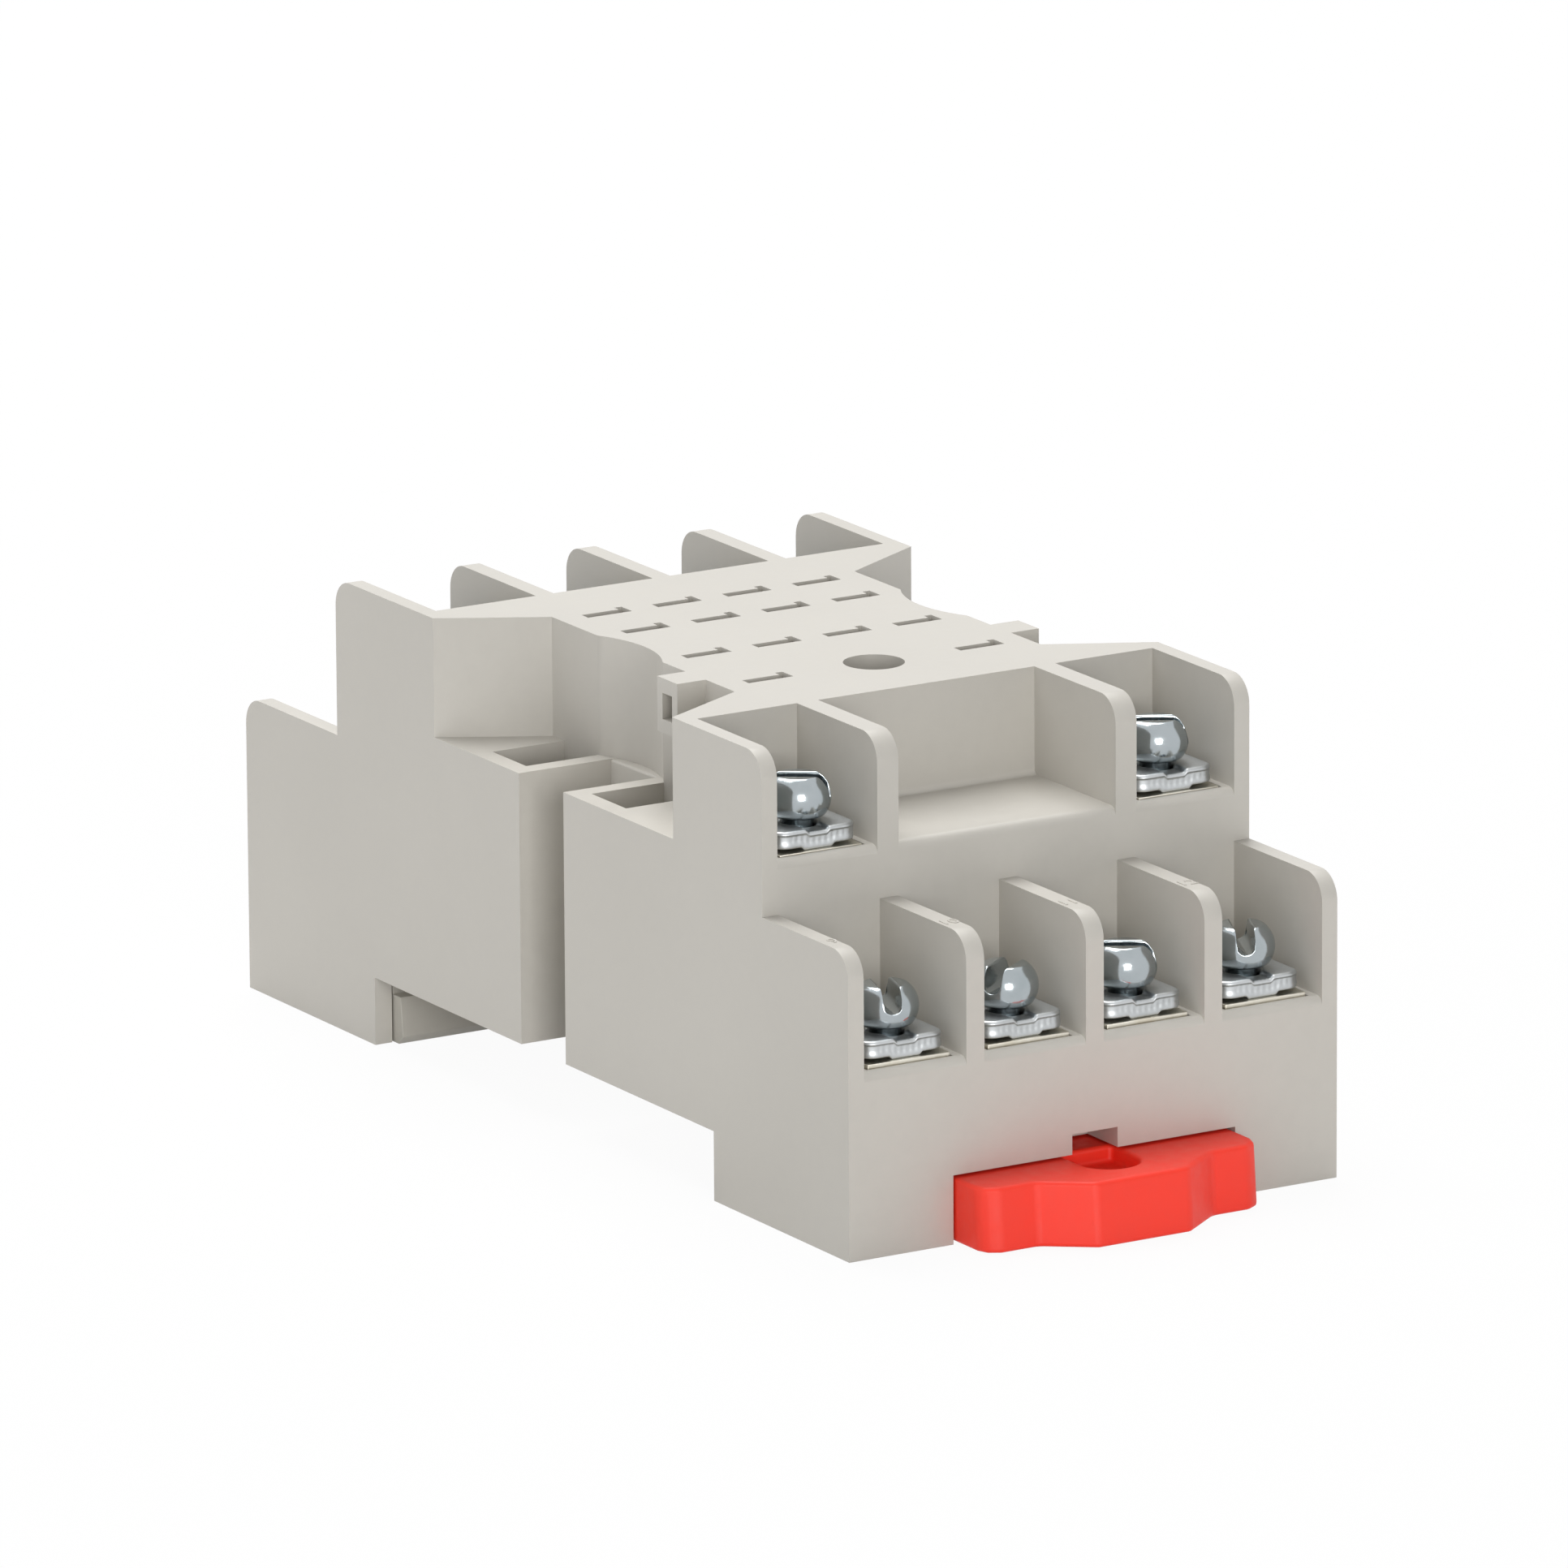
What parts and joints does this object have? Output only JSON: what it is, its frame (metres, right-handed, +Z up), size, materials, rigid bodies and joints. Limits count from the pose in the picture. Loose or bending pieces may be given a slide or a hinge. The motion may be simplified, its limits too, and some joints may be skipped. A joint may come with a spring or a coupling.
{
  "type": "relay socket",
  "caption": "Plug-in relay socket for a 35 mm rail or a panel, with screw clamp terminals in stepped bays and a red sliding rail clip.",
  "frame": {"origin": "middle of the housing's footprint (without the clip's grip), on the plane of its two feet", "axes": "+X along the mounting rail, +Y from the rail clip towards the fixed rail hook, +Z up out of the relay seat"},
  "size_m": [0.03, 0.0687, 0.0254],
  "materials": {
    "housing_plastic": "fine satin moulded grey plastic with soft edges",
    "cover_plastic": "fine satin moulded grey plastic",
    "clip_plastic": "bright red moulded plastic, half gloss",
    "terminal_brass": "stamped brass, lightly tinned",
    "plate_steel": "zinc plated, serrated edges",
    "screw_steel": "bright nickel plated"
  },
  "bodies": {
    "base": {"housing": "housing_plastic", "base_cover": "cover_plastic", "terminal_1": "terminal_brass", "terminal_2": "terminal_brass", "terminal_3": "terminal_brass", "terminal_4": "terminal_brass", "terminal_5": "terminal_brass", "terminal_6": "terminal_brass", "terminal_7": "terminal_brass", "terminal_8": "terminal_brass", "terminal_9": "terminal_brass", "terminal_10": "terminal_brass", "terminal_11": "terminal_brass", "terminal_12": "terminal_brass", "terminal_13": "terminal_brass", "terminal_14": "terminal_brass"},
    "clip": {"rail_clip": "clip_plastic"},
    "plate_1": {"clamp_plate_1": "plate_steel"},
    "screw_1": {"clamp_screw_1": "screw_steel"},
    "plate_2": {"clamp_plate_2": "plate_steel"},
    "screw_2": {"clamp_screw_2": "screw_steel"},
    "plate_3": {"clamp_plate_3": "plate_steel"},
    "screw_3": {"clamp_screw_3": "screw_steel"},
    "plate_4": {"clamp_plate_4": "plate_steel"},
    "screw_4": {"clamp_screw_4": "screw_steel"},
    "plate_5": {"clamp_plate_5": "plate_steel"},
    "screw_5": {"clamp_screw_5": "screw_steel"},
    "plate_6": {"clamp_plate_6": "plate_steel"},
    "screw_6": {"clamp_screw_6": "screw_steel"},
    "plate_7": {"clamp_plate_7": "plate_steel"},
    "screw_7": {"clamp_screw_7": "screw_steel"},
    "plate_8": {"clamp_plate_8": "plate_steel"},
    "screw_8": {"clamp_screw_8": "screw_steel"},
    "plate_9": {"clamp_plate_9": "plate_steel"},
    "screw_9": {"clamp_screw_9": "screw_steel"},
    "plate_10": {"clamp_plate_10": "plate_steel"},
    "screw_10": {"clamp_screw_10": "screw_steel"},
    "plate_11": {"clamp_plate_11": "plate_steel"},
    "screw_11": {"clamp_screw_11": "screw_steel"},
    "plate_12": {"clamp_plate_12": "plate_steel"},
    "screw_12": {"clamp_screw_12": "screw_steel"},
    "plate_13": {"clamp_plate_13": "plate_steel"},
    "screw_13": {"clamp_screw_13": "screw_steel"},
    "plate_14": {"clamp_plate_14": "plate_steel"},
    "screw_14": {"clamp_screw_14": "screw_steel"}
  },
  "joints": [
    {"name": "clip_slide", "type": "slide", "parent": "base", "child": "clip", "axis": [0, -1, 0], "range_m": [0, 0.003]},
    {"name": "plate_lift_1", "type": "slide", "parent": "base", "child": "plate_1", "axis": [0, 0, 1], "range_m": [0, 0.002]},
    {"name": "screw_turn_1", "type": "hinge", "parent": "plate_1", "child": "screw_1", "pos_m": [-0.01099, 0.01865, 0.02095], "axis": [0, 0, 1], "range_deg": [0, 1600]},
    {"name": "plate_lift_2", "type": "slide", "parent": "base", "child": "plate_2", "axis": [0, 0, 1], "range_m": [0, 0.002]},
    {"name": "screw_turn_2", "type": "hinge", "parent": "plate_2", "child": "screw_2", "pos_m": [-0.00366, 0.01865, 0.02095], "axis": [0, 0, 1], "range_deg": [0, 1600]},
    {"name": "plate_lift_3", "type": "slide", "parent": "base", "child": "plate_3", "axis": [0, 0, 1], "range_m": [0, 0.002]},
    {"name": "screw_turn_3", "type": "hinge", "parent": "plate_3", "child": "screw_3", "pos_m": [0.00366, 0.01865, 0.02095], "axis": [0, 0, 1], "range_deg": [0, 1600]},
    {"name": "plate_lift_4", "type": "slide", "parent": "base", "child": "plate_4", "axis": [0, 0, 1], "range_m": [0, 0.002]},
    {"name": "screw_turn_4", "type": "hinge", "parent": "plate_4", "child": "screw_4", "pos_m": [0.01099, 0.01865, 0.02095], "axis": [0, 0, 1], "range_deg": [0, 1600]},
    {"name": "plate_lift_5", "type": "slide", "parent": "base", "child": "plate_5", "axis": [0, 0, 1], "range_m": [0, 0.002]},
    {"name": "screw_turn_5", "type": "hinge", "parent": "plate_5", "child": "screw_5", "pos_m": [-0.01099, 0.02885, 0.01165], "axis": [0, 0, 1], "range_deg": [0, 1600]},
    {"name": "plate_lift_6", "type": "slide", "parent": "base", "child": "plate_6", "axis": [0, 0, 1], "range_m": [0, 0.002]},
    {"name": "screw_turn_6", "type": "hinge", "parent": "plate_6", "child": "screw_6", "pos_m": [-0.00366, 0.02885, 0.01165], "axis": [0, 0, 1], "range_deg": [0, 1600]},
    {"name": "plate_lift_7", "type": "slide", "parent": "base", "child": "plate_7", "axis": [0, 0, 1], "range_m": [0, 0.002]},
    {"name": "screw_turn_7", "type": "hinge", "parent": "plate_7", "child": "screw_7", "pos_m": [0.00366, 0.02885, 0.01165], "axis": [0, 0, 1], "range_deg": [0, 1600]},
    {"name": "plate_lift_8", "type": "slide", "parent": "base", "child": "plate_8", "axis": [0, 0, 1], "range_m": [0, 0.002]},
    {"name": "screw_turn_8", "type": "hinge", "parent": "plate_8", "child": "screw_8", "pos_m": [0.01099, 0.02885, 0.01165], "axis": [0, 0, 1], "range_deg": [0, 1600]},
    {"name": "plate_lift_9", "type": "slide", "parent": "base", "child": "plate_9", "axis": [0, 0, 1], "range_m": [0, 0.002]},
    {"name": "screw_turn_9", "type": "hinge", "parent": "plate_9", "child": "screw_9", "pos_m": [-0.01099, -0.02885, 0.01165], "axis": [0, 0, 1], "range_deg": [0, 1600]},
    {"name": "plate_lift_10", "type": "slide", "parent": "base", "child": "plate_10", "axis": [0, 0, 1], "range_m": [0, 0.002]},
    {"name": "screw_turn_10", "type": "hinge", "parent": "plate_10", "child": "screw_10", "pos_m": [-0.00366, -0.02885, 0.01165], "axis": [0, 0, 1], "range_deg": [0, 1600]},
    {"name": "plate_lift_11", "type": "slide", "parent": "base", "child": "plate_11", "axis": [0, 0, 1], "range_m": [0, 0.002]},
    {"name": "screw_turn_11", "type": "hinge", "parent": "plate_11", "child": "screw_11", "pos_m": [0.00366, -0.02885, 0.01165], "axis": [0, 0, 1], "range_deg": [0, 1600]},
    {"name": "plate_lift_12", "type": "slide", "parent": "base", "child": "plate_12", "axis": [0, 0, 1], "range_m": [0, 0.002]},
    {"name": "screw_turn_12", "type": "hinge", "parent": "plate_12", "child": "screw_12", "pos_m": [0.01099, -0.02885, 0.01165], "axis": [0, 0, 1], "range_deg": [0, 1600]},
    {"name": "plate_lift_13", "type": "slide", "parent": "base", "child": "plate_13", "axis": [0, 0, 1], "range_m": [0, 0.002]},
    {"name": "screw_turn_13", "type": "hinge", "parent": "plate_13", "child": "screw_13", "pos_m": [-0.01105, -0.02025, 0.02095], "axis": [0, 0, 1], "range_deg": [0, 1600]},
    {"name": "plate_lift_14", "type": "slide", "parent": "base", "child": "plate_14", "axis": [0, 0, 1], "range_m": [0, 0.002]},
    {"name": "screw_turn_14", "type": "hinge", "parent": "plate_14", "child": "screw_14", "pos_m": [0.01105, -0.02025, 0.02095], "axis": [0, 0, 1], "range_deg": [0, 1600]}
  ],
  "couplings": [
    {"joint": "screw_turn_1", "follows": "plate_lift_1", "rad_per_m": 13963},
    {"joint": "screw_turn_2", "follows": "plate_lift_2", "rad_per_m": 13963},
    {"joint": "screw_turn_3", "follows": "plate_lift_3", "rad_per_m": 13963},
    {"joint": "screw_turn_4", "follows": "plate_lift_4", "rad_per_m": 13963},
    {"joint": "screw_turn_5", "follows": "plate_lift_5", "rad_per_m": 13963},
    {"joint": "screw_turn_6", "follows": "plate_lift_6", "rad_per_m": 13963},
    {"joint": "screw_turn_7", "follows": "plate_lift_7", "rad_per_m": 13963},
    {"joint": "screw_turn_8", "follows": "plate_lift_8", "rad_per_m": 13963},
    {"joint": "screw_turn_9", "follows": "plate_lift_9", "rad_per_m": 13963},
    {"joint": "screw_turn_10", "follows": "plate_lift_10", "rad_per_m": 13963},
    {"joint": "screw_turn_11", "follows": "plate_lift_11", "rad_per_m": 13963},
    {"joint": "screw_turn_12", "follows": "plate_lift_12", "rad_per_m": 13963},
    {"joint": "screw_turn_13", "follows": "plate_lift_13", "rad_per_m": 13963},
    {"joint": "screw_turn_14", "follows": "plate_lift_14", "rad_per_m": 13963}
  ]
}
